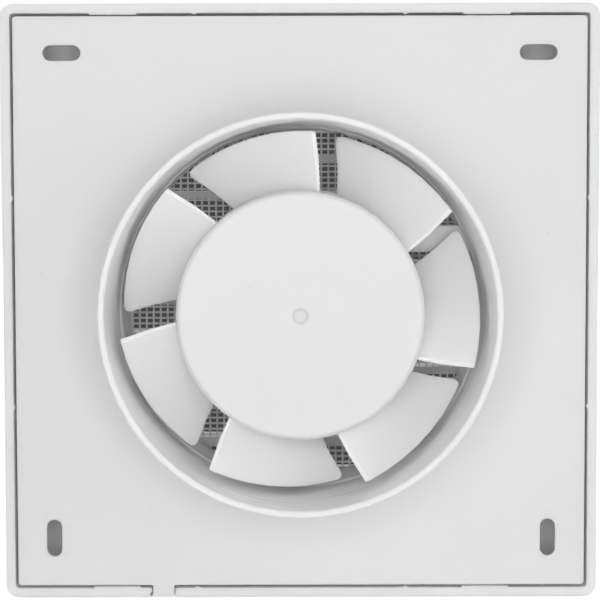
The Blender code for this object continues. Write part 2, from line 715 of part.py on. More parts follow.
def blade_sheet():
    """A flat sheet in (arc, radius), its front tip corner rounded, wrapped on to the blade surface."""
    arc_length = math.radians(BLADE_TIP_WRAP) * BLADE_TIP_RADIUS
    root = HUB_RADIUS - HUB_WALL * 0.45
    span = BLADE_TIP_RADIUS - root
    columns = [0.0] + [BLADE_LAND + (1 - BLADE_LAND) * k / 7 for k in range(8)]
    bm = bmesh.new()
    bmesh.ops.create_grid(bm, x_segments=8, y_segments=2, size=0.5)
    for vert in bm.verts:
        vert.co.x = columns[round((vert.co.x + 0.5) * 8)] * arc_length
        vert.co.y = root + (vert.co.y + 0.5) * span
    corner = max(bm.verts, key=lambda v: v.co.x + v.co.y)
    bmesh.ops.bevel(
        bm, geom=[corner], offset=BLADE_CORNER, segments=3, profile=0.5, affect="VERTICES", clamp_overlap=True
    )
    for vert in bm.verts:
        vert.co = blade_point(vert.co.x / arc_length, vert.co.y)
    bmesh.ops.recalc_face_normals(bm, faces=bm.faces)
    if sum(f.normal.z * f.calc_area() for f in bm.faces) < 0:
        bmesh.ops.reverse_faces(bm, faces=bm.faces)
    return bm


def make_impeller():
    impeller = turned("impeller", hub_profile(), WHITE, impeller_axis, 6 * BLADE_COUNT)
    blades = bmesh.new()
    sheet = blade_sheet()
    mesh = bpy.data.meshes.new("blade")
    sheet.to_mesh(mesh)
    sheet.free()
    for _ in range(BLADE_COUNT):
        blades.from_mesh(mesh)
        mesh.transform(Matrix.Rotation(2 * math.pi / BLADE_COUNT, 4, "Z"))
    bpy.data.meshes.remove(mesh)
    tool = add_tool("blades", blades)
    thick = tool.modifiers.new("thickness", "SOLIDIFY")
    thick.thickness = BLADE_THICKNESS
    thick.offset = -1
    thick.use_even_offset = True
    combine(impeller, tool, "UNION")
    insert = tube_profile(
        SHAFT_RADIUS + INSERT_WALL, SHAFT_RADIUS + SEAT_GAP, insert_low(), HUB_TOP - HUB_FACE - SEAT_GAP / 2
    )
    turned("hub_insert", insert, BRASS, impeller_axis, SMALL_STEPS)


# ---------------------------------------------------------------- motor


def bracket_profile(flip):
    """A motor bracket cup with a bearing pocket, opening towards the stator."""
    floor, wall = BRACKET_WALL, BRACKET_WALL
    pocket = floor + SEAT_GAP + BEARING_WIDTH
    points = [
        (MOTOR_RADIUS, BRACKET_DEPTH),
        (MOTOR_RADIUS, 1.0 * MM),
        (MOTOR_RADIUS - 1.0 * MM, 0),
        (SHAFT_RADIUS + 1.2 * MM, 0),
        (SHAFT_RADIUS + 1.2 * MM, floor),
        (POCKET_RADIUS, floor),
        (POCKET_RADIUS, pocket),
        (POCKET_RADIUS + wall, pocket),
        (POCKET_RADIUS + wall, floor),
        (MOTOR_RADIUS - wall, floor),
        (MOTOR_RADIUS - wall, BRACKET_DEPTH),
    ]
    if flip:
        return [(r, MOTOR_TOP - z) for r, z in reversed(points)]
    return [(r, MOTOR_BASE + z) for r, z in points]


def make_brackets():
    for name, flip in (("front_motor_bracket", False), ("rear_motor_bracket", True)):
        bracket = turned(name, bracket_profile(flip), ZINC, fan_axis, FINE_STEPS)
        floor_low = MOTOR_TOP - BRACKET_WALL - MM if flip else MOTOR_BASE - MM
        floor_high = MOTOR_TOP + MM if flip else MOTOR_BASE + BRACKET_WALL + MM
        bosses = bmesh.new()
        boss_low = MOTOR_TOP - BRACKET_DEPTH if flip else MOTOR_BASE + BRACKET_WALL / 2
        boss_high = MOTOR_TOP - BRACKET_WALL / 2 if flip else MOTOR_BASE + BRACKET_DEPTH
        for angle in BOLT_ANGLES:
            add_rod(bosses, 2.9 * MM, boss_low, boss_high, polar(BOLT_CIRCLE - 1.2 * MM, angle), 12)
        combine(bracket, add_tool(name + "_bosses", bosses), "UNION")
        cuts = bmesh.new()
        for middle in (0, 90, 180, 270) if flip else STRUT_ANGLES:
            start, end = middle - WINDOW_HALF_ANGLE, middle + WINDOW_HALF_ANGLE
            window = arc((0, 0), YOKE_INNER + 0.1 * MM, start, end, 4)
            window += arc((0, 0), 12.0 * MM, end, start, 3)
            add_prism(cuts, [window], floor_low, floor_high)
        for angle in BOLT_ANGLES:
            low = floor_low if flip else MOTOR_BASE + 2 * BRACKET_WALL
            high = MOTOR_TOP + MM if flip else MOTOR_BASE + BRACKET_DEPTH + MM
            add_rod(cuts, BOLT_RADIUS + SEAT_GAP, min(low, high - BRACKET_DEPTH * flip - 2 * MM * flip), high,
                    polar(BOLT_CIRCLE, angle), 12)
        if not flip:
            for angle in DAMPER_ANGLES:
                at = polar(DAMPER_CIRCLE, angle)
                add_rod(cuts, SCREW_RADIUS + SEAT_GAP / 2, floor_low, floor_high, at, 12)
        combine(bracket, add_tool(name + "_cuts", cuts), "DIFFERENCE")


def stator_outlines():
    """The lamination: a round yoke with four poles, each with a shoe and a slot for its shading ring."""
    inner = []
    half = POLE_WIDTH / 2
    shoe_top = POLE_FACE_RADIUS + SHOE_THICKNESS
    for k in range(POLE_COUNT):
        neck = math.sqrt(YOKE_INNER**2 - half**2)
        under = math.sqrt(shoe_top**2 - half**2)
        slot = shading_slot()
        tip = SHOE_HALF_ANGLE
        pole = [(neck, -half), (under, -half), polar(shoe_top, -tip)]
        pole += arc((0, 0), POLE_FACE_RADIUS, -tip, slot[0], 4)
        pole += [polar(POLE_FACE_RADIUS + slot[2], slot[0]), polar(POLE_FACE_RADIUS + slot[2], slot[1])]
        pole += arc((0, 0), POLE_FACE_RADIUS, slot[1], tip, 2)
        pole += [polar(shoe_top, tip), (under, half), (neck, half)]
        edge = math.degrees(math.asin(half / YOKE_INNER))
        pole += arc((0, 0), YOKE_INNER, edge, 90 - edge, 4)[1:-1]
        inner += turn_points(pole, 90 * k)
    outer = arc((0, 0), MOTOR_RADIUS, 0, 360, 36)[:-1]
    return [outer, inner]


def shading_slot():
    """Start and end angle of the shading slot in a pole's face, and its depth."""
    return (15.0, 21.0, SHOE_THICKNESS * 0.72)


def rectangle_ring(half_width, half_height, wall):
    """A rectangular ring, as its outer and its inner outline."""
    return [
        rounded_rectangle(2 * (half_width + wall), 2 * (half_height + wall), wall, steps=2),
        rounded_rectangle(2 * half_width, 2 * half_height, wall * 0.3, steps=1),
    ]


def ring_round_pole(name, half_width, half_height, wall, near, far, angle, side, look):
    """A flat ring round a pole: its plane is square to the radius at an angle of the pole."""
    bm = bmesh.new()
    middle = (STACK_LOW + STACK_HIGH) / 2
    matrix = (
        Matrix.Rotation(math.radians(angle), 4, "Z")
        @ Matrix.Translation((0, side, middle))
        @ Matrix.Rotation(math.pi / 2, 4, "Z")
        @ Matrix.Rotation(math.pi / 2, 4, "X")
    )
    add_prism(bm, rectangle_ring(half_width, half_height, wall), near, far, matrix)
    return add_piece(name, bm, look, fan_axis)


def make_stator():
    stator = prism_piece("stator_core", stator_outlines(), STACK_LOW, STACK_HIGH, LAMINATION, fan_axis)
    holes = bmesh.new()
    for angle in BOLT_ANGLES:
        add_rod(holes, BOLT_RADIUS + SEAT_GAP, STACK_LOW - MM, STACK_HIGH + MM, polar(BOLT_CIRCLE, angle), 12)
    combine(stator, add_tool("stator_bolt_holes", holes), "DIFFERENCE")
    near = POLE_FACE_RADIUS + SHOE_THICKNESS + SEAT_GAP
    former_half = POLE_WIDTH / 2 + SEAT_GAP
    stack_half = STACK_LENGTH / 2 + SEAT_GAP
    coil_half = former_half + FORMER_WALL + SEAT_GAP
    far = math.sqrt((YOKE_INNER - SEAT_GAP) ** 2 - (coil_half + COIL_BUILD) ** 2)
    start, end, depth = shading_slot()
    for k in range(POLE_COUNT):
        angle = 90 * k
        ring_round_pole(
            f"coil_former_{k + 1}", former_half, stack_half, FORMER_WALL, near, far + SEAT_GAP, angle, 0,
            NYLON,
        )
        ring_round_pole(
            f"coil_{k + 1}", coil_half, stack_half + FORMER_WALL + SEAT_GAP, COIL_BUILD, near, far, angle, 0,
            COPPER,
        )
        middle = (start + end) / 4 + SHOE_HALF_ANGLE / 2
        reach = POLE_FACE_RADIUS + depth / 2
        slot_side = -reach * math.sin(math.radians(middle - (start + end) / 2))
        tip_side = reach * math.sin(math.radians(SHOE_HALF_ANGLE - middle)) + SEAT_GAP
        inner_low = slot_side + SHADING_WIRE / 2
        ring_round_pole(
            f"shading_ring_{k + 1}", (tip_side - inner_low) / 2, stack_half, SHADING_WIRE,
            reach - 0.45 * MM, reach + 0.35 * MM, angle + middle, (tip_side + inner_low) / 2, COPPER,
        )


def bearing_profile(low):
    """A plain sintered bush with its outer edges broken."""
    outer, inner, high = BEARING_RADIUS, SHAFT_RADIUS + RUNNING_GAP, low + BEARING_WIDTH
    edge = 0.5 * MM
    return [
        (outer - edge, high), (outer, high - edge), (outer, low + edge), (outer - edge, low), (inner, low),
        (inner, high),
    ]


def make_rotor():
    low_bearing = MOTOR_BASE + BRACKET_WALL + SEAT_GAP
    high_bearing = MOTOR_TOP - BRACKET_WALL - SEAT_GAP - BEARING_WIDTH
    turned("front_bearing", bearing_profile(low_bearing), BRONZE, fan_axis, 18)
    turned("rear_bearing", bearing_profile(high_bearing), BRONZE, fan_axis, 18)
    bore = SHAFT_RADIUS + SEAT_GAP / 2
    washers = (
        ("front_thrust_washer", low_bearing + BEARING_WIDTH + SEAT_GAP),
        ("rear_thrust_washer", high_bearing - SEAT_GAP - WASHER_THICKNESS),
    )
    for name, low in washers:
        ring = tube_profile(SHAFT_RADIUS + 2 * MM, bore, low, low + WASHER_THICKNESS)
        turned(name, ring, NYLON, impeller_axis, SMALL_STEPS)
    low = washers[0][1] + WASHER_THICKNESS + SEAT_GAP
    high = washers[1][1] - SEAT_GAP
    ring_radius = ROTOR_RADIUS - 0.9 * MM
    rotor = [
        (ring_radius, high), (ring_radius, high - END_RING), (ROTOR_RADIUS, high - END_RING),
        (ROTOR_RADIUS, low + END_RING), (ring_radius, low + END_RING), (ring_radius, low), (bore, low),
        (bore, high),
    ]
    turned("rotor_core", rotor, ALUMINIUM, impeller_axis, FINE_STEPS)
    tip = 0.4 * MM
    bottom, top = MOTOR_BASE - 1.2 * MM, HUB_TOP - HUB_FACE - SEAT_GAP / 2
    shaft = [
        (0, top), (SHAFT_RADIUS - tip, top), (SHAFT_RADIUS, top - tip), (SHAFT_RADIUS, bottom + tip),
        (SHAFT_RADIUS - tip, bottom), (0, bottom),
    ]
    turned("motor_shaft", shaft, STEEL, impeller_axis, FINE_STEPS)
    clip = tube_profile(SHAFT_RADIUS + 1.1 * MM, SHAFT_RADIUS + SEAT_GAP / 2, 0, WASHER_THICKNESS)
    clip_low = MOTOR_BASE - WASHER_THICKNESS - SEAT_GAP
    turned("shaft_clip", clip, STEEL, impeller_axis, SMALL_STEPS, (0, 0), clip_low)


def make_motor_fixings():
    for number, angle in enumerate(BOLT_ANGLES, 1):
        head = MOTOR_TOP + SEAT_GAP
        length = head - (MOTOR_BASE + 3 * BRACKET_WALL)
        screw_solid(f"motor_bolt_{number}", polar(BOLT_CIRCLE, angle), head, length, fan_axis,
                    BOLT_RADIUS, BOLT_HEAD_RADIUS, BOLT_HEAD, False)
    floor_low, floor_high = CRADLE_LOW, CRADLE_LOW + CRADLE_FLOOR
    lower, upper = floor_low - 1.4 * MM, MOTOR_BASE - SEAT_GAP
    neck, flange, bore = DAMPER_NECK, DAMPER_FLANGE, SCREW_RADIUS + SEAT_GAP
    spool = [
        (flange, upper), (flange, floor_high + SEAT_GAP), (neck, floor_high + SEAT_GAP),
        (neck, floor_low - SEAT_GAP), (flange, floor_low - SEAT_GAP), (flange, lower), (bore, lower),
        (bore, upper),
    ]
    for number, angle in enumerate(DAMPER_ANGLES, 1):
        at = polar(DAMPER_CIRCLE, angle)
        turned(f"motor_damper_{number}", spool, RUBBER, fan_axis, SMALL_STEPS, at)
        head_low = lower - SEAT_GAP - SCREW_HEAD
        length = MOTOR_BASE + BRACKET_WALL + 0.6 * MM - (head_low + SCREW_HEAD)
        screw_solid(f"motor_screw_{number}", at, head_low, length, fan_axis)


# ---------------------------------------------------------------- wiring


def block_span():
    high = PLATE_FRONT - SEAT_GAP
    return high - BLOCK_SIZE[2], high


def make_terminal_block():
    x, y = BLOCK_CENTRE
    width, depth, _ = BLOCK_SIZE
    low, high = block_span()
    block = box_piece(
        "terminal_block", (x - width / 2, y - depth / 2, low), (x + width / 2, y + depth / 2, high),
        NYLON, fan_axis, 0.5 * MM,
    )
    cuts = bmesh.new()
    middle = (low + high) / 2
    terminal_width, terminal_depth, terminal_height = TERMINAL_SIZE
    clear = SEAT_GAP
    for side in (-1, 1):
        cx = x + side * TERMINAL_PITCH / 2
        add_box(
            cuts,
            (cx - terminal_width / 2 - clear, y - depth, middle - terminal_height / 2 - clear),
            (cx + terminal_width / 2 + clear, y + depth, middle + terminal_height / 2 + clear),
        )
    combine(block, add_tool("terminal_ways", cuts), "DIFFERENCE")
    wells = bmesh.new()
    for side in (-1, 1):
        for end in (-1, 1):
            at = (x + side * TERMINAL_PITCH / 2, y + end * TERMINAL_SCREW_SPACING / 2)
            add_rod(wells, 1.9 * MM, low - MM, middle - terminal_height / 4, at, 12)
    combine(block, add_tool("screw_wells", wells), "DIFFERENCE")
    for name, side in (("live_terminal", -1), ("neutral_terminal", 1)):
        cx = x + side * TERMINAL_PITCH / 2
        terminal = box_piece(
            name, (cx - terminal_width / 2, y - terminal_depth / 2, middle - terminal_height / 2),
            (cx + terminal_width / 2, y + terminal_depth / 2, middle + terminal_height / 2), BRASS, fan_axis,
            0.3 * MM,
        )
        bores = bmesh.new()
        matrix = Matrix.Translation((cx, y, middle)) @ Matrix.Rotation(math.pi / 2, 4, "X")
        bmesh.ops.create_cone(
            bores, cap_ends=True, segments=12, radius1=1.3 * MM, radius2=1.3 * MM,
            depth=terminal_depth + 2 * MM, matrix=matrix,
        )
        combine(terminal, add_tool(name + "_bore", bores), "DIFFERENCE")
        for number, end in enumerate((-1, 1), 1):
            at = (cx, y + end * TERMINAL_SCREW_SPACING / 2)
            top = middle - terminal_height / 2 - SEAT_GAP
            profile = [(0, top), (1.5 * MM, top), (1.5 * MM, low + 0.5 * MM), (0, low + 0.5 * MM)]
            turned(f"{name}_screw_{number}", profile, ZINC, fan_axis, 12, at)


def make_cable_clamp():
    x, y = CLAMP_CENTRE
    width, depth, height = CLAMP_SIZE
    high = -clamp_rest() - SEAT_GAP
    clamp = box_piece(
        "cable_clamp", (x - width / 2, y - depth / 2, high - height), (x + width / 2, y + depth / 2, high),
        WHITE, fan_axis, 0.6 * MM,
    )
    holes = bmesh.new()
    for side in (-1, 1):
        at = (x + side * CLAMP_SCREW_SPACING / 2, y)
        add_rod(holes, SCREW_RADIUS + SEAT_GAP, high - height - MM, high + MM, at, 12)
    combine(clamp, add_tool("clamp_holes", holes), "DIFFERENCE")
    for number, side in enumerate((-1, 1), 1):
        at = (x + side * CLAMP_SCREW_SPACING / 2, y)
        head_low = high - height - SEAT_GAP - SCREW_HEAD
        screw_solid(f"clamp_screw_{number}", at, head_low, 7.4 * MM, fan_axis)


def lead_route(side):
    """The points of a motor lead, from the windings to its terminal, in the fan's frame."""
    angle = STRUT_ANGLES[2]
    out = Vector((*polar(1.0, angle), 0))
    across = Vector((-out.y, out.x, 0)) * side * LEAD_SPACING / 2
    run = STRUT_LOW - SEAT_GAP - LEAD_RADIUS
    over = -INTAKE_DEPTH / 2 - MM
    points = [out * LEAD_EXIT + across + Vector((0, 0, height)) for height in (LEAD_HEAD, LEAD_HEAD * 0.42)]
    points.append(out * (LEAD_EXIT + 1.5 * MM) + across + Vector((0, 0, run)))
    straight = (CRADLE_RADIUS + SEAT_GAP, THROAT_RADIUS - 6 * MM)
    points += [out * r + across + Vector((0, 0, run)) for r in straight]
    points.append(out * (THROAT_RADIUS - 3 * MM) + across + Vector((0, 0, -MM)))
    points.append(out * THROAT_RADIUS + across + Vector((0, 0, over)))
    outside = SPIGOT_RADIUS + 4.5 * MM + 2 * LEAD_RADIUS
    radius = outside if side > 0 else outside - LEAD_SPACING
    x, y = BLOCK_CENTRE
    top = y + BLOCK_SIZE[1] / 2
    first = angle - (3.0 if side > 0 else 5.0)
    last = 180.0 + math.degrees(math.asin(-(top + 7.7 * MM) / outside))
    for k in range(5):
        points.append(Vector((*polar(radius, first + (last - first) * k / 4), over)))
    low, high = block_span()
    middle = (low + high) / 2
    column = x + side * TERMINAL_PITCH / 2
    bend = 5.0 * MM if side > 0 else 8.0 * MM
    points.append(Vector((column + 3.0 * MM, top + bend - 0.6 * MM, (over + middle) / 2)))
    points.append(Vector((column + 0.3 * MM, top + bend - 1.8 * MM, middle)))
    points.append(Vector((column, top + 1.2 * MM, middle)))
    points.append(Vector((column, y + TERMINAL_SIZE[1] / 2 - 1.5 * MM, middle)))
    return points


def smooth_route(points, steps):
    """Points read from a smooth curve through the route's own points."""
    route = []
    padded = [points[0] * 2 - points[1], *points, points[-1] * 2 - points[-2]]
    for a, b, c, d in zip(padded, padded[1:], padded[2:], padded[3:]):
        for i in range(steps):
            t = i / steps
            route.append(0.5 * (2 * b + (c - a) * t + (2 * a - 5 * b + 4 * c - d) * t**2
                                + (3 * b - a - 3 * c + d) * t**3))
    return route + [points[-1]]


def make_leads():
    for name, side, look in (("neutral_lead", 1, BLUE_SLEEVE), ("live_lead", -1, BROWN_SLEEVE)):
        curve = bpy.data.curves.new(name, "CURVE")
        curve.dimensions = "3D"
        curve.bevel_depth = LEAD_RADIUS
        curve.bevel_resolution = 1
        curve.use_fill_caps = True
        route = smooth_route(lead_route(side), 2)
        spline = curve.splines.new("POLY")
        spline.points.add(len(route) - 1)
        for point, place in zip(spline.points, route):
            point.co = (*place, 1)
        curve.materials.append(finish(name, look))
        lead = bpy.data.objects.new(name, curve)
        lead.parent = fan_axis
        parts.objects.link(lead)


def make_fuse():
    radius = YOKE_INNER - SEAT_GAP - FUSE_RADIUS
    coil_side = POLE_WIDTH / 2 + 2 * SEAT_GAP + FORMER_WALL + COIL_BUILD
    y = -(coil_side + SEAT_GAP + FUSE_RADIUS)
    x = -math.sqrt(radius**2 - y**2)
    low = (STACK_LOW + STACK_HIGH - FUSE_LENGTH) / 2
    turned("thermal_fuse", rod_profile(FUSE_RADIUS, low, low + FUSE_LENGTH), STEEL, fan_axis, 12, (x, y))


clear_scene()
parts = new_collection("bathroom_extractor_fan", True)
tools = new_collection("cutters", False)
fan_axis = new_axis("fan_axis")
impeller_axis = new_axis("impeller_axis", fan_axis)
cover_axis = new_axis("cover_axis", fan_axis)

make_housing()
make_cover()
make_screen()
make_impeller()
make_brackets()
make_stator()
make_rotor()
make_motor_fixings()
make_terminal_block()
make_cable_clamp()
make_leads()
make_fuse()
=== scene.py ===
# Bathroom extractor fan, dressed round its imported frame.
import math

import bpy
from mathutils import Matrix, Vector


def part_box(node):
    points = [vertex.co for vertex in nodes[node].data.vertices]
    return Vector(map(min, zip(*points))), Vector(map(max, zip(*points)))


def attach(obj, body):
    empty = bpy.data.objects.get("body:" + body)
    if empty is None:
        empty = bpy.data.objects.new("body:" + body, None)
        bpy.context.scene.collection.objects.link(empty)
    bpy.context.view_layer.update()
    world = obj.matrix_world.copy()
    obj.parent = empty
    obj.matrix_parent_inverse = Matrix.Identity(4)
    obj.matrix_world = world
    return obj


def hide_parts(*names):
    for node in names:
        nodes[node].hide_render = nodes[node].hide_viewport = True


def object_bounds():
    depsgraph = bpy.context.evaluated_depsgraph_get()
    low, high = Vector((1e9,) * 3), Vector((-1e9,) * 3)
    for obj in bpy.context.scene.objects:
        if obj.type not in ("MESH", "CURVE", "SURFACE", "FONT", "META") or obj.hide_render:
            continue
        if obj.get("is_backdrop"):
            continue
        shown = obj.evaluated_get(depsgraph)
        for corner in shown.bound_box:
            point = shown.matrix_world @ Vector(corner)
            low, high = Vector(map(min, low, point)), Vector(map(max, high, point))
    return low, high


mm = 0.001

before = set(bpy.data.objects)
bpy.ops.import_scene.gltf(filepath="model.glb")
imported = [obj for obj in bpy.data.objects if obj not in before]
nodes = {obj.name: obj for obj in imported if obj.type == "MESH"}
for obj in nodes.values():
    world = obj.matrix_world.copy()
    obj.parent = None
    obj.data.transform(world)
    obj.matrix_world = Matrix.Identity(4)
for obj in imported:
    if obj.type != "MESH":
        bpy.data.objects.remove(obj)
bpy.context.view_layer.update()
print("frame loaded:", len(nodes), "nodes")


def clearSelection():
    if bpy.context.object and bpy.context.object.mode != "OBJECT":
        bpy.ops.object.mode_set(mode="OBJECT")
    bpy.ops.object.select_all(action="DESELECT")


def makeActive(obj):
    clearSelection()
    obj.select_set(True)
    bpy.context.view_layer.objects.active = obj


def settle(obj, name):
    # puts the place, turn and size into the mesh, so the object sits at the origin
    makeActive(obj)
    bpy.ops.object.transform_apply(location=True, rotation=True, scale=True)
    obj.name = name
    obj.data.name = name
    return obj


def pickFaces(obj, test):
    # back in edit mode with only the faces that pass the test selected
    bpy.ops.object.mode_set(mode="OBJECT")
    for vert in obj.data.vertices:
        vert.select = False
    for edge in obj.data.edges:
        edge.select = False
    for face in obj.data.polygons:
        face.select = test(face)
    bpy.ops.object.mode_set(mode="EDIT")
    bpy.ops.mesh.select_mode(type="FACE")


def newMaterial(name):
    material = bpy.data.materials.new(name)
    material.use_nodes = True
    return material, material.node_tree, material.node_tree.nodes["Principled BSDF"]


def addNode(tree, kind, **values):
    node = tree.nodes.new(kind)
    for key, value in values.items():
        setattr(node, key, value)
    return node


def joinNodes(tree, start, end):
    tree.links.new(start, end)


def mathStep(tree, operation, first, second=None, clamp=False):
    node = addNode(tree, "ShaderNodeMath", operation=operation, use_clamp=clamp)
    for socket, value in zip(node.inputs, (first, second)):
        if value is None:
            continue
        if isinstance(value, (int, float)):
            socket.default_value = value
        else:
            joinNodes(tree, value, socket)
    return node.outputs[0]


def placeOnPiece(tree, scale=(1, 1, 1), turn=(0, 0, 0)):
    coordinates = addNode(tree, "ShaderNodeTexCoord")
    mapping = addNode(tree, "ShaderNodeMapping")
    mapping.inputs["Scale"].default_value = scale
    mapping.inputs["Rotation"].default_value = turn
    joinNodes(tree, coordinates.outputs["Object"], mapping.inputs["Vector"])
    return mapping.outputs["Vector"]


def fromAxis(tree, place):
    # the place across, along and up the fan's axis, and how far it lies from that axis
    split = addNode(tree, "ShaderNodeSeparateXYZ")
    joinNodes(tree, place, split.inputs[0])
    across, along, up = split.outputs
    acrossSquared = mathStep(tree, "MULTIPLY", across, across)
    upSquared = mathStep(tree, "MULTIPLY", up, up)
    radius = mathStep(tree, "SQRT", mathStep(tree, "ADD", acrossSquared, upSquared))
    return across, along, up, radius


def noise(tree, vector, scale, detail=3.0, roughness=0.55):
    node = addNode(tree, "ShaderNodeTexNoise")
    node.inputs["Scale"].default_value = scale
    node.inputs["Detail"].default_value = detail
    node.inputs["Roughness"].default_value = roughness
    joinNodes(tree, vector, node.inputs["Vector"])
    return node.outputs["Fac"]


def ramp(tree, value, stops):
    node = addNode(tree, "ShaderNodeValToRGB")
    while len(node.color_ramp.elements) < len(stops):
        node.color_ramp.elements.new(0.5)
    for element, (position, colour) in zip(node.color_ramp.elements, stops):
        element.position = position
        element.color = (*colour, 1)
    joinNodes(tree, value, node.inputs["Fac"])
    return node.outputs["Color"]


def spread(tree, value, low, high, fromLow=0.0, fromHigh=1.0):
    node = addNode(tree, "ShaderNodeMapRange")
    node.inputs["From Min"].default_value = fromLow
    node.inputs["From Max"].default_value = fromHigh
    node.inputs["To Min"].default_value = low
    node.inputs["To Max"].default_value = high
    joinNodes(tree, value, node.inputs["Value"])
    return node.outputs["Result"]


def bumpFrom(tree, height, strength, distance, normal=None):
    node = addNode(tree, "ShaderNodeBump")
    node.inputs["Strength"].default_value = strength
    node.inputs["Distance"].default_value = distance
    joinNodes(tree, height, node.inputs["Height"])
    if normal:
        joinNodes(tree, normal, node.inputs["Normal"])
    return node.outputs["Normal"]


def mixColours(tree, factor, first, second, mode="MIX"):
    node = addNode(tree, "ShaderNodeMix", data_type="RGBA", blend_type=mode)
    for socket, value in ((node.inputs[0], factor), (node.inputs[6], first), (node.inputs[7], second)):
        if isinstance(value, (int, float)):
            socket.default_value = value
        elif isinstance(value, tuple):
            socket.default_value = (*value, 1)
        else:
            joinNodes(tree, value, socket)
    return node.outputs[2]


def dress(obj, material):
    obj.data.materials.clear()
    obj.data.materials.append(material)


mouldedWhite = {
    "colour": (0.822, 0.822, 0.820), "shade": (0.798, 0.799, 0.801), "grain": 0.05, "roughness": (0.44, 0.54),
    "depth": 3.0 * mm, "scatter": 0.6,
}
# the cover's white is partly painted light: lighter than the housing's so the shaded cover inside, seen
# through the fixing slots, reads lighter
coverWhiteAndPaintedLight = dict(
    mouldedWhite, colour=(0.935, 0.935, 0.933), shade=(0.915, 0.916, 0.918), depth=4.0 * mm, scatter=0.85,
)
# the blades' white; the cap in the middle and a fine ring round its dimple are painted darker, as painted
# shade
bladeWhite = dict(
    mouldedWhite, colour=(0.900, 0.900, 0.898), shade=(0.875, 0.876, 0.878), capEdge=30.4 * mm,
    paintedCapTone=(0.85, 0.85, 0.85), ringAt=1.75 * mm, paintedRingTone=(0.90, 0.90, 0.90),
)
# the fly mesh's white is partly painted light: whiter than the other mouldings so its deep-set wires read
# lighter
meshWhiteAndPaintedLight = dict(mouldedWhite, colour=(0.96, 0.96, 0.958), shade=(0.93, 0.93, 0.928), scatter=0.0)
# the streak tones inside the throat lie mostly above the plate's white: painted light on the deep throat
# walls
housingWhite = dict(
    mouldedWhite, throatWall=(48.0 * mm, 48.6 * mm), throatEnd=(46.0 * mm, 47.5 * mm), streakTurn=0.16,
    streakRows=95.0, paintedLightStreakTones=((0.74, 0.74, 0.735), (0.91, 0.91, 0.91), (0.975, 0.975, 0.975)),
    streakCover=0.15, throatRoughness=(0.34, 0.50),
)


def letLightIn(shader, look):
    # thin white plastic lets a little light through
    shader.inputs["Subsurface Weight"].default_value = look["scatter"]
    shader.inputs["Subsurface Radius"].default_value = (1, 0.98, 0.94)
    shader.inputs["Subsurface Scale"].default_value = look["depth"]


def paintedCapShade(tree, place, tone, look):
    # the flat cap in the middle is painted a touch greyer than what stands round it, as painted shade, with a
    # fine ring of painted shade round the dimple at its centre
    radius = fromAxis(tree, place)[3]
    cap = spread(tree, radius, 1.0, 0.0, look["capEdge"] - 0.3 * mm, look["capEdge"])
    capShadedTone = mixColours(tree, cap, tone, mixColours(tree, 1.0, tone, look["paintedCapTone"], "MULTIPLY"))
    away = mathStep(tree, "ABSOLUTE", mathStep(tree, "SUBTRACT", radius, look["ringAt"]))
    ring = spread(tree, away, 1.0, 0.0, 0.15 * mm, 0.5 * mm)
    return mixColours(tree, ring, capShadedTone, mixColours(tree, 1.0, capShadedTone, look["paintedRingTone"], "MULTIPLY"))


def mouldedPlastic(name, look, grainSize=5200.0, flow=(1, 1, 1)):
    # pale plastic: a slow drift of tone, a fine mould grain and a few faint flow marks
    material, tree, shader = newMaterial(name)
    place = placeOnPiece(tree)
    drift = noise(tree, place, 14.0, 2.0)
    tone = ramp(tree, drift, ((0.30, look["shade"]), (0.68, look["colour"])))
    streaks = noise(tree, placeOnPiece(tree, flow), 38.0, 5.0, 0.6)
    faint = ramp(tree, streaks, ((0.36, (0.985, 0.985, 0.985)), (0.52, (1, 1, 1))))
    tone = mixColours(tree, 1.0, tone, faint, "MULTIPLY")
    # the cap in the middle and the ring round its dimple get painted shade
    if "capEdge" in look:
        tone = paintedCapShade(tree, place, tone, look)
    specks = noise(tree, place, 620.0, 2.0)
    dust = ramp(tree, specks, ((0.735, (1, 1, 1)), (0.775, (0.87, 0.87, 0.86))))
    joinNodes(tree, mixColours(tree, 1.0, tone, dust, "MULTIPLY"), shader.inputs["Base Color"])
    letLightIn(shader, look)
    low, high = look["roughness"]
    joinNodes(tree, spread(tree, drift, low, high), shader.inputs["Roughness"])
    grain = noise(tree, place, grainSize, 2.0)
    normal = bumpFrom(tree, grain, look["grain"], 0.02 * mm)
    sink = noise(tree, place, 55.0, 1.0)
    joinNodes(tree, bumpFrom(tree, sink, 0.06, 0.5 * mm, normal), shader.inputs["Normal"])
    return material


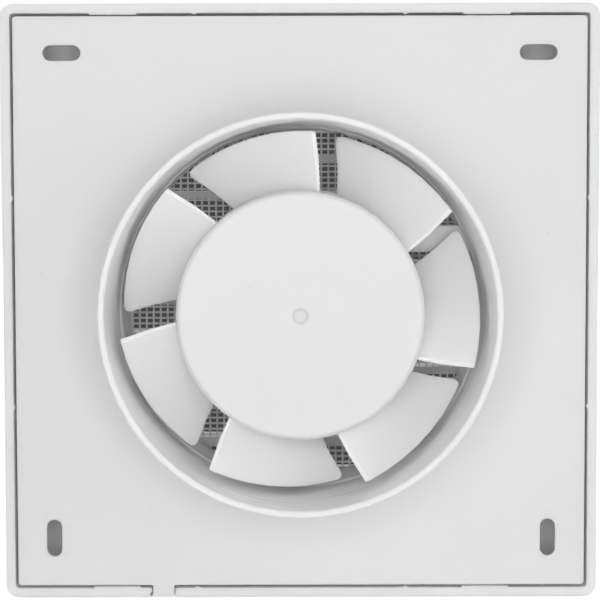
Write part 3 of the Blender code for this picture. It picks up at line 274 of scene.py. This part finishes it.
def ductPlastic(name, look):
    # the housing's plastic, with turned streaks inside the throat, where the mould core was polished; the
    # throat is painted lighter than the plate, as painted light
    material, tree, shader = newMaterial(name)
    place = placeOnPiece(tree)
    across, along, up, radius = fromAxis(tree, place)
    inside = spread(tree, radius, 1.0, 0.0, *look["throatWall"])
    below = spread(tree, along, 1.0, 0.0, *look["throatEnd"])
    throat = mathStep(tree, "MULTIPLY", inside, below, True)
    turnAngle = mathStep(tree, "ARCTAN2", up, across)
    wrapped = addNode(tree, "ShaderNodeCombineXYZ")
    for socket, turning in zip(wrapped.inputs, ("COSINE", "SINE")):
        step = mathStep(tree, "MULTIPLY", mathStep(tree, turning, turnAngle), look["streakTurn"])
        joinNodes(tree, step, socket)
    joinNodes(tree, mathStep(tree, "MULTIPLY", along, look["streakRows"]), wrapped.inputs[2])
    rings = noise(tree, wrapped.outputs[0], 5.5, 6.0, 0.62)
    drift = noise(tree, place, 14.0, 2.0)
    tone = ramp(tree, drift, ((0.30, look["shade"]), (0.68, look["colour"])))
    # the throat's streak tones lie mostly above the plate's: painted light on the deep throat walls
    paintedLightStreaks = ramp(tree, rings, tuple(zip((0.36, 0.45, 0.51), look["paintedLightStreakTones"])))
    paintedLightThroatTone = mixColours(tree, look["streakCover"], paintedLightStreaks, tone)
    tone = mixColours(tree, throat, tone, paintedLightThroatTone)
    specks = noise(tree, place, 560.0, 2.0)
    dust = ramp(tree, specks, ((0.735, (1, 1, 1)), (0.775, (0.86, 0.86, 0.85))))
    joinNodes(tree, mixColours(tree, 1.0, tone, dust, "MULTIPLY"), shader.inputs["Base Color"])
    letLightIn(shader, look)
    low, high = look["roughness"]
    plain = spread(tree, drift, low, high)
    turnedRoughness = spread(tree, rings, *look["throatRoughness"])
    difference = mathStep(tree, "SUBTRACT", turnedRoughness, plain)
    change = mathStep(tree, "MULTIPLY", difference, throat)
    joinNodes(tree, mathStep(tree, "ADD", plain, change), shader.inputs["Roughness"])
    grain = noise(tree, place, 5200.0, 2.0)
    normal = bumpFrom(tree, grain, look["grain"], 0.02 * mm)
    turned = mathStep(tree, "MULTIPLY", rings, throat)
    joinNodes(tree, bumpFrom(tree, turned, 0.25, 0.3 * mm, normal), shader.inputs["Normal"])
    return material


bandSpan = 0.314  # one band of the wave texture at scale 1, in metres


def metal(name, colour, roughness, scratch=(1, 1, 1), grain=0.08, layers=0.0):
    # bare or plated metal: fine drawn scratches, a patchy tone, and layer lines where sheets are stacked
    material, tree, shader = newMaterial(name)
    shader.inputs["Metallic"].default_value = 1.0
    place = placeOnPiece(tree)
    patch = noise(tree, place, 220.0, 3.0)
    dull = tuple(0.72 * c for c in colour)
    joinNodes(tree, ramp(tree, patch, ((0.30, dull), (0.62, colour))), shader.inputs["Base Color"])
    lines = noise(tree, placeOnPiece(tree, scratch), 1400.0, 3.0)
    joinNodes(tree, spread(tree, lines, roughness * 0.75, roughness * 1.3), shader.inputs["Roughness"])
    normal = bumpFrom(tree, lines, grain, 0.03 * mm)
    if layers:
        wave = addNode(tree, "ShaderNodeTexWave", wave_type="BANDS", bands_direction="Y")
        wave.inputs["Scale"].default_value = bandSpan / layers
        joinNodes(tree, place, wave.inputs["Vector"])
        normal = bumpFrom(tree, wave.outputs["Fac"], 0.5, 0.06 * mm, normal)
    joinNodes(tree, normal, shader.inputs["Normal"])
    return material


def enamelledWire(name, colour, pitch):
    # rows of lacquered copper wire, laid along the coil, with painted shade in the grooves between the rows
    material, tree, shader = newMaterial(name)
    place = placeOnPiece(tree)
    radius = fromAxis(tree, place)[3]
    rows = mathStep(tree, "SINE", mathStep(tree, "MULTIPLY", radius, 2 * math.pi / pitch))
    patch = noise(tree, place, 300.0, 2.0)
    base = ramp(tree, patch, ((0.3, tuple(0.7 * c for c in colour)), (0.7, colour)))
    # painted shade darkens the grooves between the wire rows
    paintedGrooveShade = spread(tree, rows, 0.45, 1.0, -1.0, -0.2)
    shade = addNode(tree, "ShaderNodeCombineColor")
    for socket in shade.inputs:
        joinNodes(tree, paintedGrooveShade, socket)
    joinNodes(tree, mixColours(tree, 1.0, base, shade.outputs[0], "MULTIPLY"), shader.inputs["Base Color"])
    shader.inputs["Metallic"].default_value = 0.7
    joinNodes(tree, spread(tree, patch, 0.24, 0.4), shader.inputs["Roughness"])
    shader.inputs["Coat Weight"].default_value = 0.5
    joinNodes(tree, bumpFrom(tree, rows, 0.6, 0.08 * mm), shader.inputs["Normal"])
    return material


def softRubber(name):
    material, tree, shader = newMaterial(name)
    place = placeOnPiece(tree)
    bloom = noise(tree, place, 260.0, 4.0)
    tone = ramp(tree, bloom, ((0.35, (0.018, 0.018, 0.018)), (0.75, (0.055, 0.055, 0.053))))
    joinNodes(tree, tone, shader.inputs["Base Color"])
    joinNodes(tree, spread(tree, bloom, 0.62, 0.85), shader.inputs["Roughness"])
    joinNodes(tree, bumpFrom(tree, noise(tree, place, 2600.0, 2.0), 0.2, 0.05 * mm), shader.inputs["Normal"])
    return material


def wireSleeve(name, colour):
    material, tree, shader = newMaterial(name)
    place = placeOnPiece(tree)
    handling = noise(tree, place, 320.0, 3.0)
    worn = tuple(min(1.0, 0.6 * c + 0.05) for c in colour)
    joinNodes(tree, ramp(tree, handling, ((0.3, worn), (0.65, colour))), shader.inputs["Base Color"])
    joinNodes(tree, spread(tree, handling, 0.34, 0.52), shader.inputs["Roughness"])
    joinNodes(tree, bumpFrom(tree, noise(tree, place, 1800.0, 2.0), 0.15, 0.04 * mm), shader.inputs["Normal"])
    return material


def nylon(name, colour):
    material, tree, shader = newMaterial(name)
    place = placeOnPiece(tree)
    cloud = noise(tree, place, 120.0, 3.0)
    pale = tuple(min(1.0, 1.12 * c) for c in colour)
    joinNodes(tree, ramp(tree, cloud, ((0.32, colour), (0.7, pale))), shader.inputs["Base Color"])
    joinNodes(tree, spread(tree, cloud, 0.38, 0.55), shader.inputs["Roughness"])
    shader.inputs["Subsurface Weight"].default_value = 0.08
    shader.inputs["Subsurface Radius"].default_value = (0.0015, 0.0015, 0.0012)
    joinNodes(tree, bumpFrom(tree, noise(tree, place, 3000.0, 2.0), 0.12, 0.03 * mm), shader.inputs["Normal"])
    return material


housingPlastic = ductPlastic("housingPlastic", housingWhite)
coverPlastic = mouldedPlastic("coverPlastic", coverWhiteAndPaintedLight, 4200.0, (1.0, 0.3, 1.0))
bladePlastic = mouldedPlastic("bladePlastic", bladeWhite, 5600.0, (1.0, 2.5, 1.0))
meshPlastic = mouldedPlastic("meshPlastic", meshWhiteAndPaintedLight)
platedSteel = metal("platedSteel", (0.62, 0.63, 0.64), 0.32, (1, 6, 1))
groundSteel = metal("groundSteel", (0.58, 0.59, 0.60), 0.22, (1, 14, 1), 0.05)
stackedSteel = metal("stackedSteel", (0.26, 0.27, 0.29), 0.45, (1, 1, 1), 0.1, 0.5 * mm)
castAluminium = metal("castAluminium", (0.74, 0.75, 0.76), 0.42, (1, 1, 1), 0.12)
turnedBrass = metal("turnedBrass", (0.78, 0.60, 0.29), 0.3, (1, 8, 1))
sinteredBronze = metal("sinteredBronze", (0.52, 0.38, 0.23), 0.55, (1, 1, 1), 0.25)
bareCopper = metal("bareCopper", (0.80, 0.42, 0.28), 0.3, (1, 4, 1))
copperWire = enamelledWire("copperWire", (0.66, 0.27, 0.13), 0.32 * mm)
blackRubber = softRubber("blackRubber")
naturalNylon = nylon("naturalNylon", (0.66, 0.64, 0.57))
blueSleeve = wireSleeve("blueSleeve", (0.04, 0.13, 0.50))
brownSleeve = wireSleeve("brownSleeve", (0.22, 0.10, 0.045))

finishes = {
    "back_housing": housingPlastic, "front_cover": coverPlastic, "impeller": bladePlastic,
    "cable_clamp": coverPlastic, "fly_screen": meshPlastic, "hub_insert": turnedBrass,
    "front_motor_bracket": platedSteel, "rear_motor_bracket": platedSteel, "stator_core": stackedSteel,
    "front_bearing": sinteredBronze, "rear_bearing": sinteredBronze, "front_thrust_washer": naturalNylon,
    "rear_thrust_washer": naturalNylon, "rotor_core": castAluminium, "motor_shaft": groundSteel,
    "shaft_clip": groundSteel, "terminal_block": naturalNylon, "live_terminal": turnedBrass,
    "neutral_terminal": turnedBrass, "neutral_lead": blueSleeve, "live_lead": brownSleeve,
    "thermal_fuse": groundSteel,
}
families = {
    "coil_former": naturalNylon, "coil_": copperWire, "shading_ring": bareCopper, "motor_bolt": platedSteel,
    "motor_damper": blackRubber, "motor_screw": platedSteel, "live_terminal_screw": platedSteel,
    "neutral_terminal_screw": platedSteel, "clamp_screw": platedSteel,
}
for nodeName, obj in nodes.items():
    material = finishes.get(nodeName)
    if material is None:
        material = next(m for start, m in families.items() if nodeName.startswith(start))
    dress(obj, material)
print("finishes on the CAD nodes")

mouldings = {
    "back_housing": {"body": "housing", "rounding": 0.22 * mm, "fold": 32, "material": housingPlastic},
    "front_cover": {"body": "cover", "rounding": 0.25 * mm, "fold": 32, "material": coverPlastic},
    "impeller": {"body": "impeller", "rounding": 0.18 * mm, "fold": 20, "material": bladePlastic},
}


def makeMoulding(nodeName, spec):
    # the CAD shape with the small rounded edges of a moulding, and smooth over its curved faces
    source = nodes[nodeName]
    mesh = source.data.copy()
    mesh.transform(source.matrix_world)
    piece = bpy.data.objects.new(nodeName + "Moulding", mesh)
    bpy.context.scene.collection.objects.link(piece)
    makeActive(piece)
    bpy.ops.object.mode_set(mode="EDIT")
    bpy.ops.mesh.select_all(action="SELECT")
    bpy.ops.mesh.remove_doubles(threshold=0.002 * mm)
    bpy.ops.mesh.dissolve_limited(angle_limit=math.radians(0.3))
    bpy.ops.object.mode_set(mode="OBJECT")
    edges = piece.modifiers.new("edges", "BEVEL")
    edges.width = spec["rounding"]
    edges.segments = 2
    edges.limit_method = "ANGLE"
    edges.angle_limit = math.radians(spec["fold"])
    bpy.ops.object.modifier_apply(modifier="edges")
    bpy.ops.object.shade_smooth_by_angle(angle=math.radians(spec["fold"]))
    flats = piece.modifiers.new("flats", "WEIGHTED_NORMAL")
    flats.keep_sharp = True
    flats.weight = 90
    bpy.ops.object.modifier_apply(modifier="flats")
    dress(piece, spec["material"])
    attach(piece, spec["body"])
    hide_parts(nodeName)
    print(nodeName, "moulding:", len(piece.data.polygons), "faces")


for nodeName, spec in mouldings.items():
    makeMoulding(nodeName, spec)

flyMesh = {"columns": 48, "rows": 60, "wire": 0.45 * mm, "rim": 0.95 * mm}


def makeFlyMesh(spec):
    # a moulded square mesh in the CAD screen's place: a sheet of cells, each inset and opened
    low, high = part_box("fly_screen")
    width, height = high.x - low.x, high.z - low.z
    clearSelection()
    bpy.ops.mesh.primitive_grid_add(
        x_subdivisions=spec["columns"], y_subdivisions=spec["rows"], size=1.0,
        location=((low.x + high.x) / 2, high.y, (low.z + high.z) / 2), rotation=(math.pi / 2, 0, 0),
    )
    mesh = bpy.context.object
    mesh.scale = (width - 2 * spec["rim"], height - 2 * spec["rim"], 1)
    settle(mesh, "flyMesh")
    bpy.ops.object.mode_set(mode="EDIT")
    bpy.ops.mesh.select_mode(type="EDGE")
    bpy.ops.mesh.select_all(action="SELECT")
    bpy.ops.mesh.region_to_loop()
    bpy.ops.mesh.extrude_edges_move()  # the solid rim round the cells
    rimGrowth = (width / (width - 2 * spec["rim"]), 1, height / (height - 2 * spec["rim"]))
    bpy.ops.transform.resize(value=rimGrowth)
    bpy.ops.object.mode_set(mode="OBJECT")
    halfWidth, halfHeight = width / 2 - spec["rim"], height / 2 - spec["rim"]
    centre = (low + high) / 2

    def isCell(face):
        away = face.center - centre
        return abs(away.x) < halfWidth and abs(away.z) < halfHeight

    pickFaces(mesh, isCell)
    bpy.ops.mesh.inset(thickness=spec["wire"] / 2, depth=0, use_individual=True)
    bpy.ops.mesh.delete(type="FACE")
    bpy.ops.object.mode_set(mode="OBJECT")
    thick = mesh.modifiers.new("thickness", "SOLIDIFY")
    thick.thickness = high.y - low.y - 0.02 * mm
    thick.offset = -1 if mesh.data.polygons[0].normal.y > 0 else 1
    makeActive(mesh)
    bpy.ops.object.modifier_apply(modifier="thickness")
    dress(mesh, meshPlastic)
    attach(mesh, "cover")
    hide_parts("fly_screen")


makeFlyMesh(flyMesh)
print("fly mesh made")

# what is seen through the film over the louvres is painted dark, as painted shade
stageLook = {
    "floorDrop": 0.3 * mm, "floorColour": (0.86, 0.86, 0.86), "paintedShadeThroughFilm": 0.055, "ambient": 0.19,
    "nearGlow": 0.62, "farGlow": 0.98, "glowReach": (120 * mm, 550 * mm),
    "lift": 0.085, "liftReach": (100 * mm, 350 * mm), "filmGap": 0.4 * mm, "filmMargin": 3 * mm,
}


def makeFloor(spec):
    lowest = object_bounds()[0].z
    clearSelection()
    bpy.ops.mesh.primitive_plane_add(size=6.0, location=(0, 0, lowest - spec["floorDrop"]))
    floor = settle(bpy.context.object, "floor")
    material, tree, shader = newMaterial("floorPaint")
    shader.inputs["Base Color"].default_value = (*spec["floorColour"], 1)
    shader.inputs["Roughness"].default_value = 0.9
    output = tree.nodes["Material Output"]
    bright = addNode(tree, "ShaderNodeEmission")
    length = addNode(tree, "ShaderNodeVectorMath", operation="LENGTH")
    joinNodes(tree, placeOnPiece(tree), length.inputs[0])
    fade = spread(tree, length.outputs["Value"], spec["nearGlow"], spec["farGlow"], *spec["glowReach"])
    joinNodes(tree, fade, bright.inputs["Strength"])  # it melts into the backdrop
    # camera rays that passed the film see the floor painted dark, as painted shade
    dark = addNode(tree, "ShaderNodeEmission")
    dark.inputs["Strength"].default_value = spec["paintedShadeThroughFilm"]
    path = addNode(tree, "ShaderNodeLightPath")
    add = addNode(tree, "ShaderNodeAddShader")
    through = addNode(tree, "ShaderNodeMixShader")
    mix = addNode(tree, "ShaderNodeMixShader")
    joinNodes(tree, shader.outputs[0], add.inputs[0])
    joinNodes(tree, bright.outputs[0], add.inputs[1])
    joinNodes(tree, mathStep(tree, "GREATER_THAN", path.outputs["Transparent Depth"], 0.5), through.inputs[0])
    joinNodes(tree, add.outputs[0], through.inputs[1])
    joinNodes(tree, dark.outputs[0], through.inputs[2])
    joinNodes(tree, path.outputs["Is Camera Ray"], mix.inputs[0])
    lift = addNode(tree, "ShaderNodeEmission")  # light thrown back up from the sheet close by
    near = spread(tree, length.outputs["Value"], spec["lift"], 0.0, *spec["liftReach"])
    joinNodes(tree, near, lift.inputs["Strength"])
    lifted = addNode(tree, "ShaderNodeAddShader")
    joinNodes(tree, shader.outputs[0], lifted.inputs[0])
    joinNodes(tree, lift.outputs[0], lifted.inputs[1])
    joinNodes(tree, lifted.outputs[0], mix.inputs[1])
    joinNodes(tree, through.outputs[0], mix.inputs[2])
    joinNodes(tree, mix.outputs[0], output.inputs["Surface"])
    dress(floor, material)
    floor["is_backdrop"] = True


def makePaintedShadeFilm(spec):
    # a clear film over the louvres: the floor and world seen through it are painted dark, as painted shade in
    # the louvre cells
    low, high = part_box("fly_screen")
    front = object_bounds()[0].y
    clearSelection()
    bpy.ops.mesh.primitive_plane_add(
        size=1.0, location=(0, front - spec["filmGap"], 0), rotation=(math.pi / 2, 0, 0),
    )
    film = bpy.context.object
    film.scale = (high.x - low.x + 2 * spec["filmMargin"], high.z - low.z + 2 * spec["filmMargin"], 1)
    settle(film, "paintedShadeFilm")
    material, tree = newMaterial("paintedShadeFilm")[:2]
    clear = addNode(tree, "ShaderNodeBsdfTransparent")
    joinNodes(tree, clear.outputs[0], tree.nodes["Material Output"].inputs["Surface"])
    dress(film, material)
    film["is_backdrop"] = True


def makeBackground(spec):
    world = bpy.data.worlds.new("studio")
    bpy.context.scene.world = world
    world.use_nodes = True
    tree = world.node_tree
    plain = tree.nodes["Background"]
    plain.inputs["Color"].default_value = (1, 1, 1, 1)
    plain.inputs["Strength"].default_value = spec["ambient"]
    seen = addNode(tree, "ShaderNodeBackground")
    seen.inputs["Strength"].default_value = 1.0
    path = addNode(tree, "ShaderNodeLightPath")
    # camera rays that passed the film see the world painted dark, as painted shade
    through = mathStep(tree, "GREATER_THAN", path.outputs["Transparent Depth"], 0.5)
    tone = spread(tree, through, 1.0, spec["paintedShadeThroughFilm"])
    joinNodes(tree, tone, seen.inputs["Color"])
    mix = addNode(tree, "ShaderNodeMixShader")
    joinNodes(tree, path.outputs["Is Camera Ray"], mix.inputs[0])
    joinNodes(tree, plain.outputs[0], mix.inputs[1])
    joinNodes(tree, seen.outputs[0], mix.inputs[2])
    joinNodes(tree, mix.outputs[0], tree.nodes["World Output"].inputs["Surface"])


lampPlan = {
    "behindCamera": {"place": (0.0, 0.62, 0.02), "size": 0.3, "power": 2.0},
    "leftSide": {"place": (-1.2, 0.7, 0.15), "size": 1.2, "power": 5.6},
    "rightSide": {"place": (1.2, 0.7, 0.15), "size": 1.2, "power": 2.8},
    "overhead": {"place": (0.0, 0.35, 1.3), "size": 1.2, "power": 3.6},
    "roomSide": {"place": (0.3, -1.1, 0.8), "size": 1.0, "power": 1.0},
    "roomFront": {"place": (0.1, -1.5, 0.3), "size": 1.3, "power": 4.0},
}


def makeLamps(plan):
    for name, spec in plan.items():
        lamp = bpy.data.lights.new(name, "AREA")
        lamp.shape = "SQUARE"
        lamp.size = spec["size"]
        lamp.energy = spec["power"]
        obj = bpy.data.objects.new(name, lamp)
        bpy.context.scene.collection.objects.link(obj)
        obj.location = spec["place"]
        obj.rotation_euler = (-Vector(spec["place"])).to_track_quat("-Z", "Y").to_euler()


cameraPlan = {
    "lens": 118.8, "distance": 525.0 * mm, "lift": 3.84, "turn": -0.009, "roll": -0.13,
    "slide": (-0.135 * mm, 0.787 * mm),
}


def makeCamera(plan):
    camera = bpy.data.cameras.new("viewer")
    camera.lens = plan["lens"]
    camera.sensor_width = 36.0
    turn = Matrix.Rotation(math.radians(180 + plan["turn"]), 3, "Z")
    tilt = Matrix.Rotation(math.radians(90 - plan["lift"]), 3, "X")
    roll = Matrix.Rotation(math.radians(plan["roll"]), 3, "Z")
    aim = turn @ tilt @ roll
    obj = bpy.data.objects.new("viewer", camera)
    bpy.context.scene.collection.objects.link(obj)
    obj.rotation_euler = aim.to_euler()
    obj.location = aim @ Vector((plan["slide"][0], plan["slide"][1], plan["distance"]))
    bpy.context.scene.camera = obj


makeFloor(stageLook)
makePaintedShadeFilm(stageLook)
makeBackground(stageLook)
makeLamps(lampPlan)
makeCamera(cameraPlan)
bpy.context.scene.view_settings.view_transform = "Standard"
print("stage, lamps and camera set")
